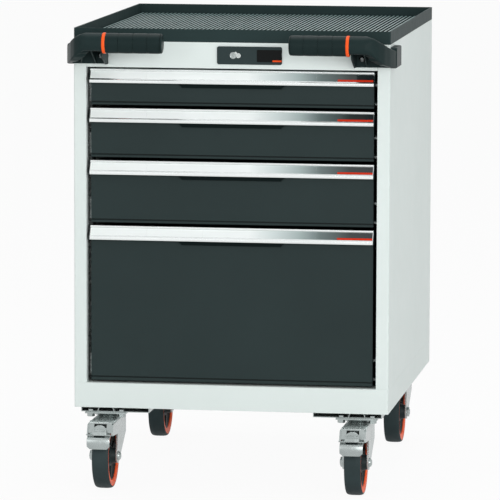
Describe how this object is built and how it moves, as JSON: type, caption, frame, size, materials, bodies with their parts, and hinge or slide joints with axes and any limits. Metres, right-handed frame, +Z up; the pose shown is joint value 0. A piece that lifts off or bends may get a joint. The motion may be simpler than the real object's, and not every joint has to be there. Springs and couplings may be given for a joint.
{
  "type": "rolling tool cabinet",
  "caption": "Rolling tool cabinet: sheet-steel carcass with drawers on telescopic runners, tray top, push handles, lock and swivel casters with foot brakes.",
  "frame": {"origin": "on the floor, under the middle of the overall box", "axes": "+Z up, front with the drawers towards -Y, +X to the right of someone who faces the front"},
  "size_m": [0.63, 0.8126, 0.8825],
  "materials": {
    "body_paint": "light grey powder coat",
    "drawer_paint": "anthracite powder coat",
    "rail_aluminium": "bright extrusion",
    "black_plastic": "moulded, fine grain",
    "orange_plastic": "moulded",
    "mat_rubber": "ribbed",
    "zinc_steel": "bright zinc plate",
    "tyre_rubber": "solid rubber",
    "core_plastic": "moulded"
  },
  "bodies": {
    "cabinet": {"base_pan": "body_paint", "left_side_panel": "body_paint", "right_side_panel": "body_paint", "rear_panel": "body_paint", "top_panel": "body_paint", "top_tray": "black_plastic", "tray_mat": "mat_rubber", "runner_uprights": "zinc_steel", "cabinet_rails": "zinc_steel", "lock_fascia": "black_plastic", "handle_arms": "black_plastic", "handle_grips": "black_plastic", "grip_rings": "orange_plastic", "caster_channels": "zinc_steel", "caster_plates": "zinc_steel", "caster_bolts": "zinc_steel"},
    "lock_rotor": {"lock_rotor": "zinc_steel"},
    "lock_cover": {"lock_cover": "zinc_steel"},
    "drawer_1": {"drawer_box_1": "drawer_paint", "drawer_front_1": "drawer_paint", "handle_rail_1": "rail_aluminium", "rail_caps_1": "black_plastic"},
    "runners_1": {"middle_rails_1": "zinc_steel"},
    "catch_1": {"catch_bar_1": "black_plastic"},
    "drawer_2": {"drawer_box_2": "drawer_paint", "drawer_front_2": "drawer_paint", "handle_rail_2": "rail_aluminium", "rail_caps_2": "black_plastic"},
    "runners_2": {"middle_rails_2": "zinc_steel"},
    "catch_2": {"catch_bar_2": "black_plastic"},
    "drawer_3": {"drawer_box_3": "drawer_paint", "drawer_front_3": "drawer_paint", "handle_rail_3": "rail_aluminium", "rail_caps_3": "black_plastic"},
    "runners_3": {"middle_rails_3": "zinc_steel"},
    "catch_3": {"catch_bar_3": "black_plastic"},
    "drawer_4": {"drawer_box_4": "drawer_paint", "drawer_front_4": "drawer_paint", "handle_rail_4": "rail_aluminium", "rail_caps_4": "black_plastic"},
    "runners_4": {"middle_rails_4": "zinc_steel"},
    "catch_4": {"catch_bar_4": "black_plastic"},
    "caster_front_left": {"caster_fork_front_left": "zinc_steel", "caster_axle_front_left": "zinc_steel"},
    "wheel_front_left": {"tyre_front_left": "tyre_rubber", "wheel_core_front_left": "core_plastic"},
    "pedal_front_left": {"brake_pedal_front_left": "zinc_steel"},
    "caster_front_right": {"caster_fork_front_right": "zinc_steel", "caster_axle_front_right": "zinc_steel"},
    "wheel_front_right": {"tyre_front_right": "tyre_rubber", "wheel_core_front_right": "core_plastic"},
    "pedal_front_right": {"brake_pedal_front_right": "zinc_steel"},
    "caster_rear_left": {"caster_fork_rear_left": "zinc_steel", "caster_axle_rear_left": "zinc_steel"},
    "wheel_rear_left": {"tyre_rear_left": "tyre_rubber", "wheel_core_rear_left": "core_plastic"},
    "caster_rear_right": {"caster_fork_rear_right": "zinc_steel", "caster_axle_rear_right": "zinc_steel"},
    "wheel_rear_right": {"tyre_rear_right": "tyre_rubber", "wheel_core_rear_right": "core_plastic"}
  },
  "joints": [
    {"name": "lock_turn", "type": "hinge", "parent": "cabinet", "child": "lock_rotor", "pos_m": [0.004, -0.3187, 0.834], "axis": [0, 1, 0], "range_deg": [0, 90]},
    {"name": "lock_cover_swing", "type": "hinge", "parent": "cabinet", "child": "lock_cover", "pos_m": [0.00902, -0.3217, 0.83902], "axis": [0, 1, 0], "range_deg": [0, 90]},
    {"name": "drawer_1_slide", "type": "slide", "parent": "cabinet", "child": "drawer_1", "axis": [0, -1, 0], "range_m": [0, 0.6]},
    {"name": "runners_1_slide", "type": "slide", "parent": "cabinet", "child": "runners_1", "axis": [0, -1, 0], "range_m": [0, 0.3]},
    {"name": "catch_1_lift", "type": "slide", "parent": "drawer_1", "child": "catch_1", "axis": [0, 0, 1], "range_m": [0, 0.003], "stiffness_N_per_m": 200, "springref_m": -0.004},
    {"name": "drawer_2_slide", "type": "slide", "parent": "cabinet", "child": "drawer_2", "axis": [0, -1, 0], "range_m": [0, 0.6]},
    {"name": "runners_2_slide", "type": "slide", "parent": "cabinet", "child": "runners_2", "axis": [0, -1, 0], "range_m": [0, 0.3]},
    {"name": "catch_2_lift", "type": "slide", "parent": "drawer_2", "child": "catch_2", "axis": [0, 0, 1], "range_m": [0, 0.003], "stiffness_N_per_m": 200, "springref_m": -0.004},
    {"name": "drawer_3_slide", "type": "slide", "parent": "cabinet", "child": "drawer_3", "axis": [0, -1, 0], "range_m": [0, 0.6]},
    {"name": "runners_3_slide", "type": "slide", "parent": "cabinet", "child": "runners_3", "axis": [0, -1, 0], "range_m": [0, 0.3]},
    {"name": "catch_3_lift", "type": "slide", "parent": "drawer_3", "child": "catch_3", "axis": [0, 0, 1], "range_m": [0, 0.003], "stiffness_N_per_m": 200, "springref_m": -0.004},
    {"name": "drawer_4_slide", "type": "slide", "parent": "cabinet", "child": "drawer_4", "axis": [0, -1, 0], "range_m": [0, 0.6]},
    {"name": "runners_4_slide", "type": "slide", "parent": "cabinet", "child": "runners_4", "axis": [0, -1, 0], "range_m": [0, 0.3]},
    {"name": "catch_4_lift", "type": "slide", "parent": "drawer_4", "child": "catch_4", "axis": [0, 0, 1], "range_m": [0, 0.003], "stiffness_N_per_m": 200, "springref_m": -0.004},
    {"name": "swivel_front_left", "type": "hinge", "parent": "cabinet", "child": "caster_front_left", "pos_m": [-0.242, -0.2737, 0.136], "axis": [0, 0, 1], "continuous": true},
    {"name": "wheel_spin_front_left", "type": "hinge", "parent": "caster_front_left", "child": "wheel_front_left", "pos_m": [-0.242, -0.3187, 0.0625], "axis": [1, 0, 0], "continuous": true},
    {"name": "brake_front_left", "type": "hinge", "parent": "caster_front_left", "child": "pedal_front_left", "pos_m": [-0.242, -0.3427, 0.1265], "axis": [1, 0, 0], "range_deg": [0, 10]},
    {"name": "swivel_front_right", "type": "hinge", "parent": "cabinet", "child": "caster_front_right", "pos_m": [0.242, -0.2737, 0.136], "axis": [0, 0, 1], "continuous": true},
    {"name": "wheel_spin_front_right", "type": "hinge", "parent": "caster_front_right", "child": "wheel_front_right", "pos_m": [0.242, -0.3187, 0.0625], "axis": [1, 0, 0], "continuous": true},
    {"name": "brake_front_right", "type": "hinge", "parent": "caster_front_right", "child": "pedal_front_right", "pos_m": [0.242, -0.3427, 0.1265], "axis": [1, 0, 0], "range_deg": [0, 10]},
    {"name": "swivel_rear_left", "type": "hinge", "parent": "cabinet", "child": "caster_rear_left", "pos_m": [-0.242, 0.3613, 0.136], "axis": [0, 0, 1], "continuous": true},
    {"name": "wheel_spin_rear_left", "type": "hinge", "parent": "caster_rear_left", "child": "wheel_rear_left", "pos_m": [-0.242, 0.3163, 0.0625], "axis": [1, 0, 0], "continuous": true},
    {"name": "swivel_rear_right", "type": "hinge", "parent": "cabinet", "child": "caster_rear_right", "pos_m": [0.242, 0.3613, 0.136], "axis": [0, 0, 1], "continuous": true},
    {"name": "wheel_spin_rear_right", "type": "hinge", "parent": "caster_rear_right", "child": "wheel_rear_right", "pos_m": [0.242, 0.3163, 0.0625], "axis": [1, 0, 0], "continuous": true}
  ],
  "couplings": [
    {"joint": "runners_1_slide", "follows": "drawer_1_slide", "ratio": 0.5},
    {"joint": "runners_2_slide", "follows": "drawer_2_slide", "ratio": 0.5},
    {"joint": "runners_3_slide", "follows": "drawer_3_slide", "ratio": 0.5},
    {"joint": "runners_4_slide", "follows": "drawer_4_slide", "ratio": 0.5}
  ]
}
